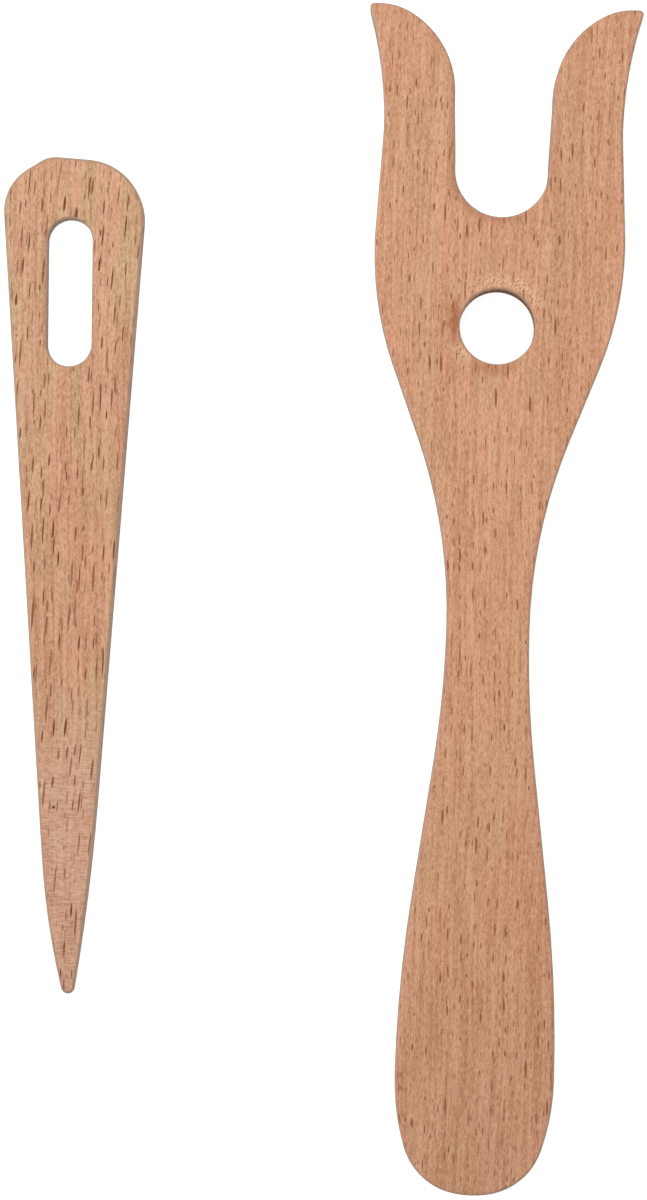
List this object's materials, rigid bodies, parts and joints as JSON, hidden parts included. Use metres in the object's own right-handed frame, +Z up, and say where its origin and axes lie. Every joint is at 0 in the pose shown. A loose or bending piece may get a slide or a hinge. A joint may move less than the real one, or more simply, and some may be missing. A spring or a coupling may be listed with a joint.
{
  "type": "lucet",
  "caption": "Two-horned wooden braiding fork with a cord hole and a waisted, spoon-like handle, lying beside its flat tapered needle with a long eye.",
  "frame": {"origin": "centre of the cord hole, half way through the fork's thickness", "axes": "+Y up the fork to its horns, +X to the fork's right, +Z up from the table that both pieces lie on"},
  "size_m": [0.1069, 0.2, 0.008],
  "materials": {
    "fork_wood": "sanded bare beech, fine short flecks",
    "needle_wood": "sanded bare beech, long dark flecks, cross-grain scratches at the point"
  },
  "bodies": {
    "fork": {"lucet_fork": "fork_wood"},
    "needle": {"threading_needle": "needle_wood"}
  },
  "joints": [
    {"name": "needle_lift", "type": "slide", "parent": "fork", "child": "needle", "axis": [0, 0, 1], "range_m": [0, 0.08]}
  ]
}
